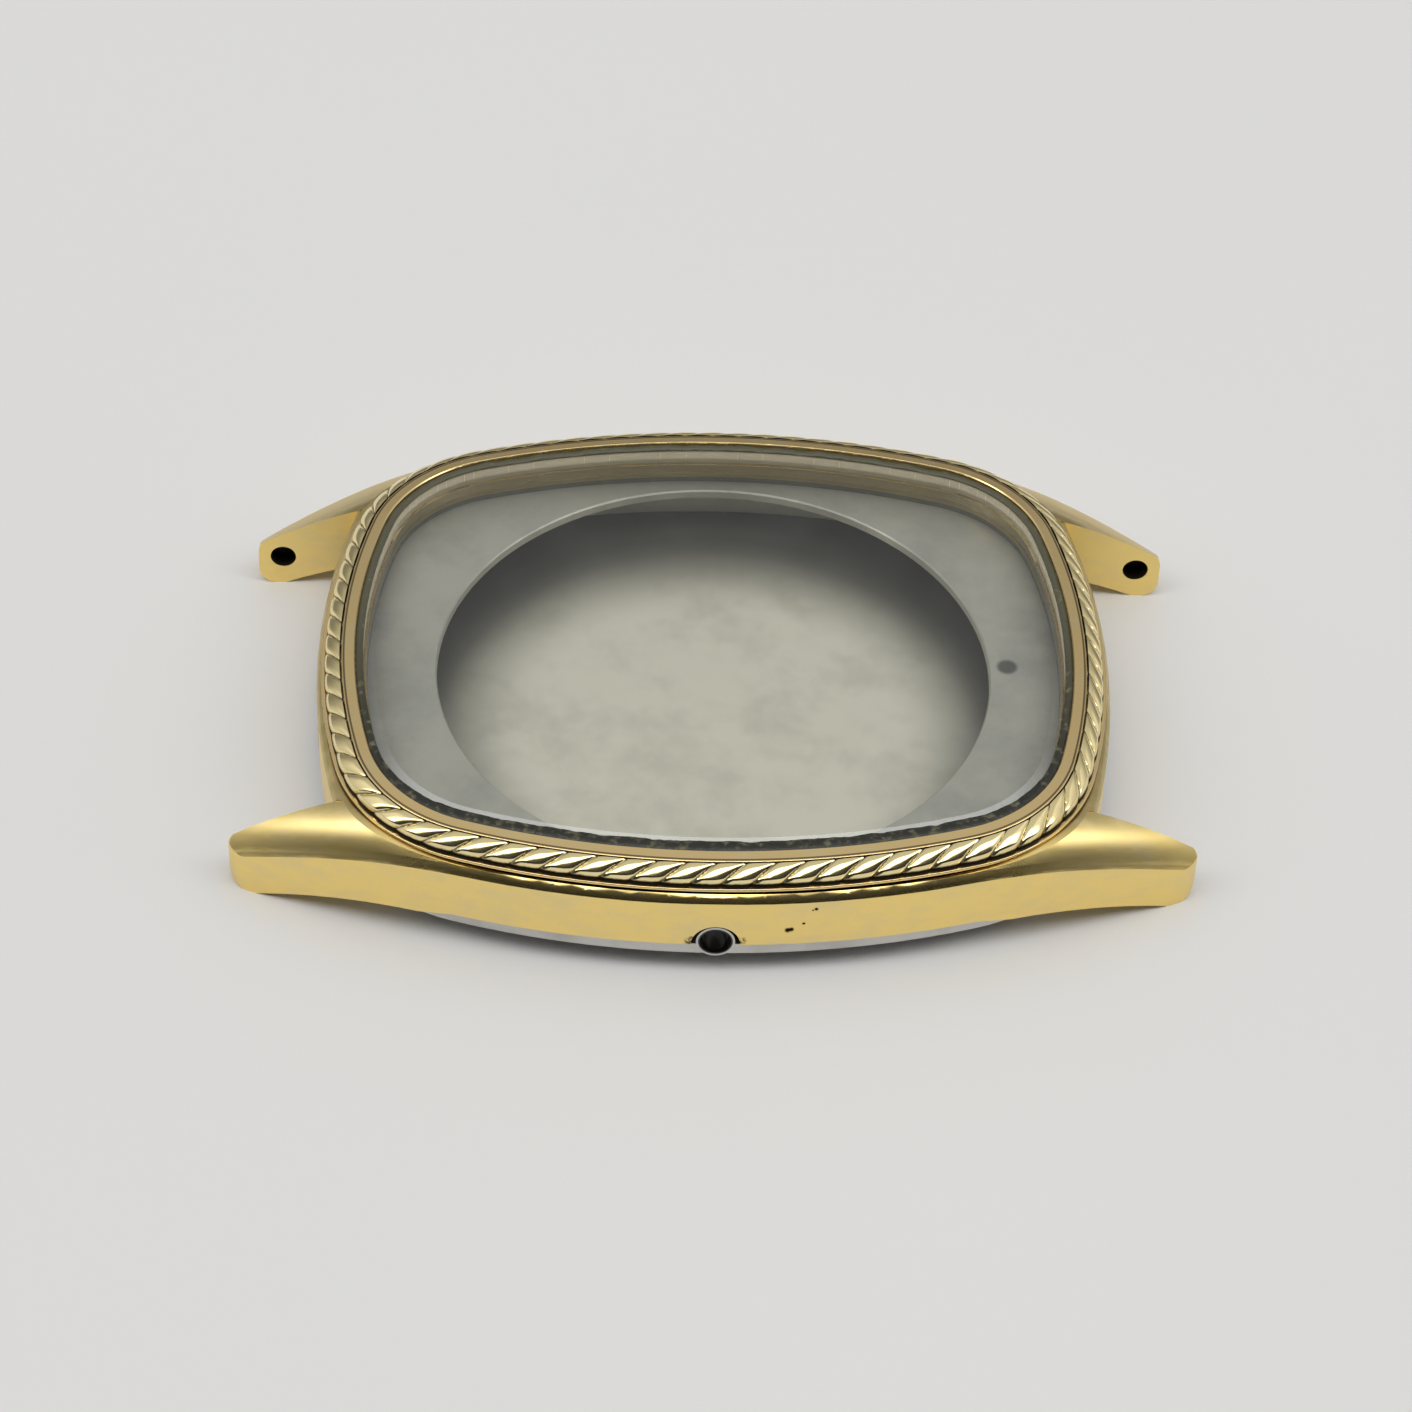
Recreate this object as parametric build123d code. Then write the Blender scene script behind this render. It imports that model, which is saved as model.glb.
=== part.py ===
"""Empty cushion-shaped watch case, in millimetres.

The case lies dial side up on the tips of its four lugs. Its origin is under its centre, on the surface that
it lies on. +X points to the crown side, +Y to 12 o'clock and +Z out through the glass.
"""

from build123d import *
import os
from math import atan2, cos, degrees, hypot, radians, sin, sqrt

# Outline of the glass opening, seen from above
opening_half_width = 12.62
opening_half_length = 14.85
side_radius = 33.7
end_radius = 27.8
corner_radius = 5.94

# Widths, each counted outwards from the one before, starting at the glass opening
band_width = 0.58
rope_width = 0.71
lip_width = 0.135
shoulder_width = 0.265

# Heights, each stacked on the one before, starting at the surface under the lug tips
back_clearance = 0.50
back_bevel_height = 0.66
back_flange_height = 0.51
cup_wall_height = 1.79
back_gasket_height = 0.26
ledge_height = 0.23
spigot_height = 0.28
bezel_wall_height = 0.25
rope_height = 0.71
band_rise = 0.08

# Bezel
bezel_ledge_width = 0.45
bezel_ledge_height = 0.45
spigot_width = 0.25
band_bevel = 0.05
joint_groove_width = 0.10
joint_groove_height = 0.13

# Crystal and its gasket
crystal_gap = 0.30
crystal_height = 0.80
crystal_bevel_width = 0.47
crystal_bevel_height = 0.17
crystal_gasket_height = 0.80

# Rope ring
rope_pitch = 1.20
rope_advance = 1.20
rope_end_depth = 0.06
rope_gap = 0.03
groove_share = 0.93

# Middle, its outer side and its lugs
middle_side_radius = 37.5
lug_side_radius = 80.0
end_wall_inset = 0.09
end_wall_radius = 36.0
lug_overhang = 3.18
lug_length = 10.03
lug_tip_radius = 1.20
strap_half_width = 9.0
bead_radius = 0.57
bead_width = 0.32
crown_width = 2.08
crown_rise = 0.61
bead_flank_angle = 20.0
crown_angle = 27.0
droop_length = 9.63
lug_droop = 2.40
nose_start = 0.55
nose_top = 2.47
nose_middle_inset = 0.15
nose_middle_height = 2.12
nose_end_height = 1.55
nose_bottom_radius = 0.75
foot_length = 1.15
underside_length = 9.17
underside_step_length = 1.4
underside_step_height = 0.24
underside_bow = 0.31
underside_bow_length = 3.63

# Spring bar holes
spring_bar_inset = 1.07
spring_bar_height = 1.47
spring_bar_radius = 0.55
spring_bar_depth = 0.80

# Case back and what it carries
back_wall_inset = 0.05
cup_clearance = 0.05
middle_wall = 0.76
cup_rim_wall = 0.40
plate_step = 0.13
plate_clearance = 0.05
plate_height = 0.45
back_floor_height = 0.57
back_edge_bevel = 0.85
plate_opening_inset = 1.09
plate_edge_radius = 0.06
knife_notch_width = 3.0
knife_notch_height = 0.20
knife_notch_depth = 0.45

# Stem tube and its notch in the middle
stem_height = 1.85
stem_bore_radius = 0.62
stem_tube_radius = 0.78
notch_radius = 0.98
notch_top_clearance = 0.04

# One length by which every cut runs past what it cuts
overrun = 1.0

# Places that follow from the widths, as distances outside the glass opening
rope_edge = band_width + rope_width
bezel_edge = rope_edge + lip_width
middle_edge = bezel_edge + shoulder_width
cup_bore_edge = middle_edge - middle_wall
cup_edge = cup_bore_edge - cup_clearance
plate_seat_edge = cup_edge - cup_rim_wall
cup_inner_edge = plate_seat_edge - plate_step
back_edge = middle_edge - back_wall_inset
back_foot_edge = back_edge - back_edge_bevel

# Places along the lugs, from the case's centre
end_wall = opening_half_length + middle_edge - end_wall_inset
lug_reach = end_wall + lug_overhang
lug_root = lug_reach - lug_length
droop_start = lug_reach - droop_length
underside_start = lug_reach - underside_length
underside_bow_place = lug_reach - underside_bow_length

# Heights that follow from the stack
flange_low = back_clearance + back_bevel_height
middle_low = flange_low + back_flange_height
cup_top = middle_low + cup_wall_height
ledge_low = cup_top + back_gasket_height
spigot_low = ledge_low + ledge_height
joint_height = spigot_low + spigot_height
rope_low = joint_height + bezel_wall_height
rope_top = rope_low + rope_height
band_top = rope_top + band_rise
crystal_low = spigot_low + bezel_ledge_height
plate_low = cup_top - plate_height

# Middle of the outline's arcs, which every parallel outline shares
side_centre = opening_half_width - side_radius
end_centre = opening_half_length - end_radius
middle_half_width = opening_half_width + middle_edge
plate_opening_radius = opening_half_width - plate_opening_inset


def corner_centre():
    """Centre of the corner arc that touches the side arc and the end arc."""
    from_side = side_radius - corner_radius
    from_end = end_radius - corner_radius
    apart = hypot(side_centre, end_centre)
    along = (from_side**2 - from_end**2 + apart**2) / (2 * apart)
    across = sqrt(from_side**2 - along**2)
    unit_x = -side_centre / apart
    unit_y = end_centre / apart
    first = (side_centre + unit_x * along - unit_y * across, unit_y * along + unit_x * across)
    second = (side_centre + unit_x * along + unit_y * across, unit_y * along - unit_x * across)
    return max(first, second)


corner_x, corner_y = corner_centre()
side_turn = degrees(atan2(corner_y, corner_x - side_centre))
end_turn = degrees(atan2(corner_y - end_centre, corner_x))


def outline(distance):
    """Closed cushion outline at a distance outside the glass opening, from the middle of the crown side."""
    side = side_radius + distance
    end = end_radius + distance
    corner = corner_radius + distance
    corner_turn = end_turn - side_turn
    return Wire(
        [
            CenterArc((side_centre, 0), side, 0, side_turn),
            CenterArc((corner_x, corner_y), corner, side_turn, corner_turn),
            CenterArc((0, end_centre), end, end_turn, 180 - 2 * end_turn),
            CenterArc((-corner_x, corner_y), corner, 180 - end_turn, corner_turn),
            CenterArc((-side_centre, 0), side, 180 - side_turn, 2 * side_turn),
            CenterArc((-corner_x, -corner_y), corner, 180 + side_turn, corner_turn),
            CenterArc((0, -end_centre), end, 180 + end_turn, 180 - 2 * end_turn),
            CenterArc((corner_x, -corner_y), corner, 360 - end_turn, corner_turn),
            CenterArc((side_centre, 0), side, -side_turn, side_turn),
        ]
    )


def slab(distance, low, high):
    """Solid plate of the cushion outline between two heights."""
    return extrude(Pos(0, 0, low) * Face(outline(distance)), amount=high - low, dir=(0, 0, 1))


def ring(*points):
    """Ring whose section is given as (distance outside the glass opening, height) points."""
    corners = [(opening_half_width + distance, height) for distance, height in points]
    return carried_round(Polyline(*corners, close=True))


def carried_round(edges):
    """Ring whose section has the given edges, drawn in the XZ plane on the crown side."""
    return sweep(Plane.XZ * make_face(edges), path=outline(0))


def make_bezel():
    """Band, channel for the rope ring, lip over the joint's groove, ledge under the crystal and spigot."""
    return ring(
        (-bezel_ledge_width, spigot_low),
        (spigot_width, spigot_low),
        (spigot_width, joint_height),
        (bezel_edge - joint_groove_width, joint_height),
        (bezel_edge - joint_groove_width, joint_height + joint_groove_height),
        (bezel_edge, joint_height + joint_groove_height),
        (bezel_edge, rope_low),
        (band_width, rope_low),
        (band_width, rope_top),
        (band_bevel, band_top),
        (0, band_top - band_bevel),
        (0, crystal_low),
        (-bezel_ledge_width, crystal_low),
    )


def rope_blank():
    """Quarter-round ring that stands in the bezel's channel, before the strands are cut."""
    inner = opening_half_width + band_width + rope_gap
    outer = opening_half_width + rope_edge
    half = sin(radians(45))
    crown = (inner + (outer - inner) * half, rope_low + rope_height * half)
    return carried_round(
        [
            Line((outer, rope_low), (inner, rope_low)),
            Line((inner, rope_low), (inner, rope_top)),
            ThreePointArc((inner, rope_top), crown, (outer, rope_low)),
        ]
    )


def strand_groove():
    """Cutter between two strands: X runs clockwise along the ring, Y outwards and Z up, from the band's edge.

    It is straight, and leaves half a round strand on each side. Its lowest line slants from the ring's top
    inner edge to its lower outer edge, so a groove is deepest where the ring bulges most.
    """
    width = rope_width - rope_gap
    chord = hypot(width, rope_height)
    length = hypot(chord, rope_advance)
    across = Vector(0, rope_height, width) * (1 / chord)
    along = Vector(rope_advance, width, -rope_height) * (1 / length)
    bulge = hypot(width, rope_height) * (sin(radians(45)) - 0.5)
    depth = bulge + rope_end_depth
    spacing = rope_pitch * chord / length
    strand_radius = ((spacing / 2) ** 2 + depth**2) / (2 * depth)
    reach = groove_share * spacing / 2

    def strand_side(place):
        return depth - strand_radius + sqrt(strand_radius**2 - (spacing / 2 - place) ** 2)

    top = depth + overrun
    cusp = [
        ThreePointArc((0, 0), (reach / 2, strand_side(reach / 2)), (reach, strand_side(reach))),
        Polyline((reach, strand_side(reach)), (reach, top), (-reach, top), (-reach, strand_side(reach))),
        ThreePointArc((-reach, strand_side(reach)), (-reach / 2, strand_side(reach / 2)), (0, 0)),
    ]
    middle = Vector(0, rope_gap, rope_height) + along * (length / 2) - across * rope_end_depth
    plane = Plane(origin=middle, x_dir=across.cross(along), z_dir=along)
    return extrude(plane * make_face(cusp), amount=length / 2 + overrun / 2, both=True)


def make_rope_ring():
    """Ring of slanted strands, cut from the quarter-round ring by one straight groove between each two."""
    path = outline(band_width)
    middle_length = outline(band_width + rope_width / 2).length
    strands = round(middle_length / rope_pitch)
    groove = strand_groove()
    cutters = []
    for strand in range(strands):
        place = path.length * strand / strands
        point = path.position_at(place, position_mode=PositionMode.LENGTH)
        forward = path.tangent_at(place, position_mode=PositionMode.LENGTH)
        origin = Vector(point.X, point.Y, rope_low)
        cutters.append(Plane(origin=origin, x_dir=-forward, z_dir=(0, 0, -1)) * Rot(180, 0, 0) * groove)
    print("rope strands", strands)
    return rope_blank() - cutters


def make_crystal():
    """Flat crystal with a bevelled rim, seated on the bezel's ledge."""
    top = crystal_low + crystal_height
    bevel_low = top - crystal_bevel_height
    plain = slab(-crystal_gap, crystal_low, bevel_low)
    low_face = Pos(0, 0, bevel_low) * Face(outline(-crystal_gap))
    top_face = Pos(0, 0, top) * Face(outline(-crystal_gap - crystal_bevel_width))
    return plain + loft([low_face, top_face], ruled=True)


def make_crystal_gasket():
    """Thin seal that fills the ring between the crystal and the bezel's band."""
    return slab(0, crystal_low, crystal_low + crystal_gasket_height) - slab(
        -crystal_gap, crystal_low - overrun, band_top + overrun
    )


def side_x(y):
    """How far out the middle's outer side lies at a place along the case."""
    side_middle = middle_half_width - middle_side_radius
    if y <= lug_root:
        return side_middle + sqrt(middle_side_radius**2 - y**2)
    lean = lug_root / middle_side_radius
    root_x = side_middle + sqrt(middle_side_radius**2 - lug_root**2)
    lug_middle_x = root_x - lug_side_radius * sqrt(1 - lean**2)
    lug_middle_y = lug_root - lug_side_radius * lean
    return lug_middle_x + sqrt(lug_side_radius**2 - (y - lug_middle_y) ** 2)


def crease_height(y):
    """Height of the edge between the satin side and the polished top, which droops along the lugs."""
    bead_rise = shoulder_rise(shoulder_width)
    past = max(y - droop_start, 0) / (lug_reach - droop_start)
    return joint_height - bead_rise - lug_droop * past**2


def shoulder_rise(inset):
    """Height of the polished bead above the crease, at a distance in from the outer side."""
    flank = radians(bead_flank_angle)
    from_middle = bead_radius * cos(flank) - inset
    return sqrt(bead_radius**2 - from_middle**2) - bead_radius * sin(flank)


def shoulder_section(x, y, crease):
    """Face of all that lies above the polished top at one place along the case, in a plane across Y."""
    flank = radians(bead_flank_angle)
    slope = radians(crown_angle)
    middle = (x - bead_radius * cos(flank), crease - bead_radius * sin(flank))
    bead_end = (middle[0] + bead_radius * sin(slope), middle[1] + bead_radius * cos(slope))
    bead = CenterArc(middle, bead_radius, 0, 90 - crown_angle)
    crown_end = (bead_end[0] - crown_width, bead_end[1] + crown_rise)
    crown = TangentArc(bead_end, crown_end, tangent=(-cos(slope), sin(slope)))
    top = band_top + overrun + bead_width + crown_rise
    out = (middle[0] + bead_radius, top)
    frame = Polyline(crown_end, (crown_end[0], top), out, (middle[0] + bead_radius, middle[1]))
    return Plane(origin=(0, y, 0), x_dir=(1, 0, 0), z_dir=(0, -1, 0)) * make_face([bead, crown, frame])


def polished_top_cutter():
    """All that lies above the polished bead and lug top, for one quarter of the case."""
    stations = 9
    first = -overrun
    last = lug_reach + overrun
    sections = []
    for station in range(stations):
        y = first + (last - first) * station / (stations - 1)
        sections.append(shoulder_section(side_x(abs(y)), y, crease_height(abs(y))))
    return loft(sections)


def middle_outline():
    """Quarter of the middle and one lug, seen from above, before the strap gap is cut."""
    root = (side_x(lug_root), lug_root)
    tip = (side_x(lug_reach), lug_reach)
    halfway = (lug_root + lug_reach) / 2
    face = make_face(
        [
            Line((0, 0), (side_x(0), 0)),
            ThreePointArc((side_x(0), 0), (side_x(lug_root / 2), lug_root / 2), root),
            ThreePointArc(root, (side_x(halfway), halfway), tip),
            Line(tip, (0, lug_reach)),
            Line((0, lug_reach), (0, 0)),
        ]
    )
    corner = face.vertices().sort_by(Axis.Y)[-2:].sort_by(Axis.X)[-1]
    return fillet(corner, radius=lug_tip_radius)


def lug_side_view():
    """Quarter of the case seen from the crown side: rounded nose, foot, bowed underside and flat band."""
    foot_start = lug_reach - foot_length
    step_end = underside_start + underside_step_length
    step_low = middle_low - underside_step_height
    bow_share = (underside_bow_place - step_end) / (foot_start - step_end)
    bow = (underside_bow_place, step_low * (1 - bow_share) + underside_bow)
    nose_top_place = lug_reach - nose_start
    nose_middle = (lug_reach - nose_middle_inset, nose_middle_height)
    toe = sin(radians(45)) * nose_bottom_radius
    toe_middle = (lug_reach - nose_bottom_radius + toe, nose_bottom_radius - toe)
    top = band_top + overrun
    return make_face(
        [
            Polyline((0, middle_low), (underside_start, middle_low), (step_end, step_low)),
            ThreePointArc((step_end, step_low), bow, (foot_start, 0)),
            Line((foot_start, 0), (lug_reach - nose_bottom_radius, 0)),
            ThreePointArc((lug_reach - nose_bottom_radius, 0), toe_middle, (lug_reach, nose_bottom_radius)),
            Line((lug_reach, nose_bottom_radius), (lug_reach, nose_end_height)),
            ThreePointArc((lug_reach, nose_end_height), nose_middle, (nose_top_place, nose_top)),
            Polyline((nose_top_place, nose_top), (nose_top_place, top), (0, top), (0, middle_low)),
        ]
    )


def strap_gap_cutter():
    """Space for the strap end between the lugs, with the end wall's own rounded shoulder above it."""
    low = -overrun
    high = band_top + overrun
    far = lug_reach + overrun
    block = Pos(0, far / 2, (low + high) / 2) * Box(2 * strap_half_width, far, high - low)
    under = Pos(0, far / 2, (low + middle_low) / 2) * Box(2 * strap_half_width, far, middle_low - low)
    wall_middle = end_wall - end_wall_radius
    core = Pos(0, wall_middle, (low + high) / 2) * Cylinder(end_wall_radius, high - low)
    section = shoulder_section(end_wall, 0, crease_height(0))
    bead = revolve(Rot(0, 0, 90) * section, Axis((0, wall_middle, 0), (0, 0, 1)), 360)
    return (block - core) + (block & bead) + under


def lug_quarter():
    """One quarter of the middle, solid inside, with its lug and spring bar hole."""
    width = middle_half_width + overrun
    plan = extrude(middle_outline(), amount=joint_height, dir=(0, 0, 1))
    side = extrude(Plane.YZ * lug_side_view(), amount=width, dir=(1, 0, 0))
    hole_place = Pos(strap_half_width + spring_bar_depth / 2, lug_reach - spring_bar_inset, spring_bar_height)
    hole = hole_place * Rot(0, 90, 0) * Cylinder(spring_bar_radius, spring_bar_depth)
    return (plan & side) - polished_top_cutter() - strap_gap_cutter() - hole


def stem_notch():
    """Arch in the middle's crown side, open downwards so that the back leaves with its tube."""
    low = -overrun
    arch_middle = stem_height + stem_tube_radius + notch_top_clearance - notch_radius
    span = middle_half_width + overrun - opening_half_width
    arch = Pos(opening_half_width + span / 2, 0, arch_middle) * Rot(0, 90, 0) * Cylinder(notch_radius, span)
    way_height = arch_middle - low
    way = Pos(opening_half_width + span / 2, 0, low + way_height / 2) * Box(span, 2 * notch_radius, way_height)
    return arch + way


def make_case_middle():
    """Plated middle with four lugs, seats for the bezel and the back, and the stem notch."""
    quarter = lug_quarter()
    half = quarter + mirror(quarter, Plane.YZ)
    body = half + mirror(half, Plane.XZ)
    body -= slab(-bezel_ledge_width, -overrun, band_top)
    body -= slab(spigot_width + cup_clearance, spigot_low, band_top)
    body -= slab(cup_bore_edge, -overrun, ledge_low)
    body -= slab(back_edge + cup_clearance, -overrun, middle_low)
    return body - stem_notch()


def make_back_gasket():
    """Flat seal on top of the back's wall and the plate's edge, under the middle's ledge."""
    outer = slab(cup_edge, cup_top, ledge_low)
    return outer - slab(-bezel_ledge_width, cup_top - overrun, ledge_low + overrun)


def make_movement_ring():
    """Thin plate that rests on the back's inner step and centres the movement in its round hole."""
    plate = slab(plate_seat_edge - plate_clearance, plate_low, cup_top)
    plate -= Pos(0, 0, plate_low + plate_height / 2) * Cylinder(plate_opening_radius, plate_height + overrun)
    rim = plate.edges().filter_by(GeomType.CIRCLE).sort_by(SortBy.RADIUS)
    hole_rim = [edge for edge in rim if abs(edge.arc_center.X) + abs(edge.arc_center.Y) < plate_edge_radius]
    return chamfer(hole_rim, plate_edge_radius)


def stem_bore(radius):
    """Cylinder along the stem's axis, from inside the case to past its outer side."""
    start = opening_half_width - overrun
    length = middle_half_width + overrun - start
    return Pos(start + length / 2, 0, stem_height) * Rot(0, 90, 0) * Cylinder(radius, length)


def make_case_back():
    """Steel cup: flat back, bevelled flange under the middle, wall inside it and a step for the plate."""
    inner_floor = back_clearance + back_floor_height
    wall = ring(
        (cup_inner_edge, back_clearance),
        (back_foot_edge, back_clearance),
        (back_edge, flange_low),
        (back_edge, middle_low),
        (cup_edge, middle_low),
        (cup_edge, cup_top),
        (plate_seat_edge, cup_top),
        (plate_seat_edge, plate_low),
        (cup_inner_edge, plate_low),
    )
    body = wall + slab(cup_inner_edge, back_clearance, inner_floor)
    notch_x = -(opening_half_width + back_edge - knife_notch_depth / 2)
    notch_z = middle_low - knife_notch_height / 2
    notch = Pos(notch_x, 0, notch_z) * Box(knife_notch_depth, knife_notch_width, knife_notch_height)
    return body - notch - stem_bore(stem_tube_radius)


def make_crown_tube():
    """Tube in the back's wall that guides the winding stem, flush with the middle's outer side."""
    start = opening_half_width + cup_inner_edge
    length = middle_half_width - start
    tube = Pos(start + length / 2, 0, stem_height) * Rot(0, 90, 0) * Cylinder(stem_tube_radius, length)
    return tube - stem_bore(stem_bore_radius)


def write_parts():
    """Writes one file for each piece."""
    os.makedirs("parts", exist_ok=True)
    pieces = {
        "case_middle": make_case_middle(),
        "bezel": make_bezel(),
        "rope_ring": make_rope_ring(),
        "crystal": make_crystal(),
        "crystal_gasket": make_crystal_gasket(),
        "back_gasket": make_back_gasket(),
        "movement_ring": make_movement_ring(),
        "case_back": make_case_back(),
        "crown_tube": make_crown_tube(),
    }
    for name, piece in pieces.items():
        export_step(piece, f"parts/{name}.step")
        box = piece.bounding_box()
        print(name, "volume", round(piece.volume, 2), "low", box.min, "high", box.max)


write_parts()
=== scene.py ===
# %% [markdown]
# # An empty watch case, dressed for a studio picture
# The object is a gold plated cushion-shaped watch case without its movement. The solids come from CAD
# as a frame that is never moved. This lesson gives each of them its finish, makes the rings that need
# more than a machined solid shows, and sets up the floor, the light and the camera.
# The frame is loaded first, because everything else is placed from it.

import math

import bpy
from mathutils import Matrix, Vector, noise


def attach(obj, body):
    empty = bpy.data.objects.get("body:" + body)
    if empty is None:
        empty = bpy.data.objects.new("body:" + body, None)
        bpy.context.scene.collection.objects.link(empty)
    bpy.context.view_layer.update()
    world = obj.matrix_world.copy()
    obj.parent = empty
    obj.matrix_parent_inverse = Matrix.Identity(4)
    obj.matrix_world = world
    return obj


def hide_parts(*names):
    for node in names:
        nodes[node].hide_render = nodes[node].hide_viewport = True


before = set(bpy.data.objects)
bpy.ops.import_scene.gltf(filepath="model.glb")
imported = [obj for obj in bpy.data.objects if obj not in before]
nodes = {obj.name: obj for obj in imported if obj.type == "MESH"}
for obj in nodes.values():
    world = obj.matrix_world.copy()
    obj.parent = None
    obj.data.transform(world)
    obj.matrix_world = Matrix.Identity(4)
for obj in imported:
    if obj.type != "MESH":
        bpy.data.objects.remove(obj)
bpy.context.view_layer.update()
MM = 0.001
print("nodes", sorted(nodes))

# %% [markdown]
# ## The camera
# The picture was taken with a long lens from the crown side, about 43 degrees above the table and
# slightly turned. A camera could be placed by hand, but its numbers are better solved from points
# that are easy to find on the case, such as the glass corners and the lug tips. Those solved numbers
# are written here, and the camera's three directions follow from them.

# %% The camera
camera_elevation = math.radians(42.727)
camera_yaw = math.radians(1.897)
camera_roll = math.radians(-2.153)
camera_distance = 179.73
aim_right = 0.359
aim_up = 2.867
aim_height = 5.223
lens_length = 110.56
sensor_width = 36


def place_camera():
    """Makes the camera from its elevation, yaw, roll and distance, and returns it."""
    upright = Vector((0, 0, 1))
    across = Vector((math.sin(camera_yaw), math.cos(camera_yaw), 0))
    flat = Vector((math.cos(camera_yaw), -math.sin(camera_yaw), 0))
    rise = math.cos(camera_elevation) * upright - math.sin(camera_elevation) * flat
    back = math.cos(camera_elevation) * flat + math.sin(camera_elevation) * upright
    right = math.cos(camera_roll) * across - math.sin(camera_roll) * rise
    up = math.sin(camera_roll) * across + math.cos(camera_roll) * rise
    place = camera_distance * back - aim_right * right - aim_up * up + aim_height * upright
    data = bpy.data.cameras.new("camera")
    data.lens = lens_length
    data.sensor_width = sensor_width
    data.clip_start = MM
    camera = bpy.data.objects.new("camera", data)
    bpy.context.scene.collection.objects.link(camera)
    turn = Matrix((right, up, back)).transposed().to_4x4()
    camera.matrix_world = Matrix.Translation(place * MM) @ turn
    bpy.context.scene.camera = camera
    return camera


camera = place_camera()
print("camera at", [round(v / MM, 1) for v in camera.matrix_world.translation], "mm")

# %% [markdown]
# ## Sums with sockets
# A finish is worked out by small nodes: add, multiply, compare. Linking dozens of them by hand hides
# the sum that they make, so one small class wraps a socket and lets Python's own signs add the Math
# nodes. Colours never go through it, because a Math node would turn them grey.


# %% Sums with sockets
class Amount:
    """A number that changes over a surface. Each sign used on it adds one Math node."""

    def __init__(self, recipe, socket):
        self.recipe = recipe
        self.socket = socket

    def sum(self, operation, *others):
        """One Math node with this amount as its first value."""
        values = dict(enumerate([self, *others]))
        return self.recipe.node("ShaderNodeMath", {"operation": operation}, values)["Value"]

    def __add__(self, other):
        return self.sum("ADD", other)

    def __sub__(self, other):
        return self.sum("SUBTRACT", other)

    def __rsub__(self, other):
        return (self * -1) + other

    def __mul__(self, other):
        return self.sum("MULTIPLY", other)

    __radd__ = __add__
    __rmul__ = __mul__

    def size(self):
        """The amount without its sign."""
        return self.sum("ABSOLUTE")

    def power(self, exponent):
        """The amount raised to a power."""
        return self.sum("POWER", exponent)

    def above(self, limit):
        """1 where the amount is over the limit, 0 elsewhere."""
        return self.sum("GREATER_THAN", limit)

    def below(self, limit):
        """1 where the amount is under the limit, 0 elsewhere."""
        return self.sum("LESS_THAN", limit)

    def most(self, other):
        """The larger of two amounts."""
        return self.sum("MAXIMUM", other)

    def least(self, other):
        """The smaller of two amounts."""
        return self.sum("MINIMUM", other)

    def between(self, low, high):
        """0 below low, 1 above high and smooth between them."""
        settings = {"interpolation_type": "SMOOTHSTEP"}
        inputs = {"Value": self, "From Min": low, "From Max": high}
        return self.recipe.node("ShaderNodeMapRange", settings, inputs)["Result"]

    def band(self, rise, fall):
        """1 between two soft edges, each a (low, high) pair, and 0 outside them."""
        return self.between(*rise) * (1 - self.between(*fall))


class Outputs:
    """The outputs of a node by name, so that a number comes out as an Amount."""

    def __init__(self, recipe, made):
        self.recipe = recipe
        self.made = made

    def __getitem__(self, name):
        socket = next(s for s in self.made.outputs if s.enabled and name in (s.name, s.identifier))
        return Amount(self.recipe, socket) if socket.type == "VALUE" else socket


# %% [markdown]
# ## One way to make any node
# Every finish below is a recipe: it names the nodes that it needs with their settings and inputs.
# One method makes them all, settings first, because a node's mode decides which sockets it has. The
# short methods after it stand for the few groups of nodes that nearly every finish uses.

# %% One way to make any node
noise_roughness = 0.55
faces_centre_limit = -0.5


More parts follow.
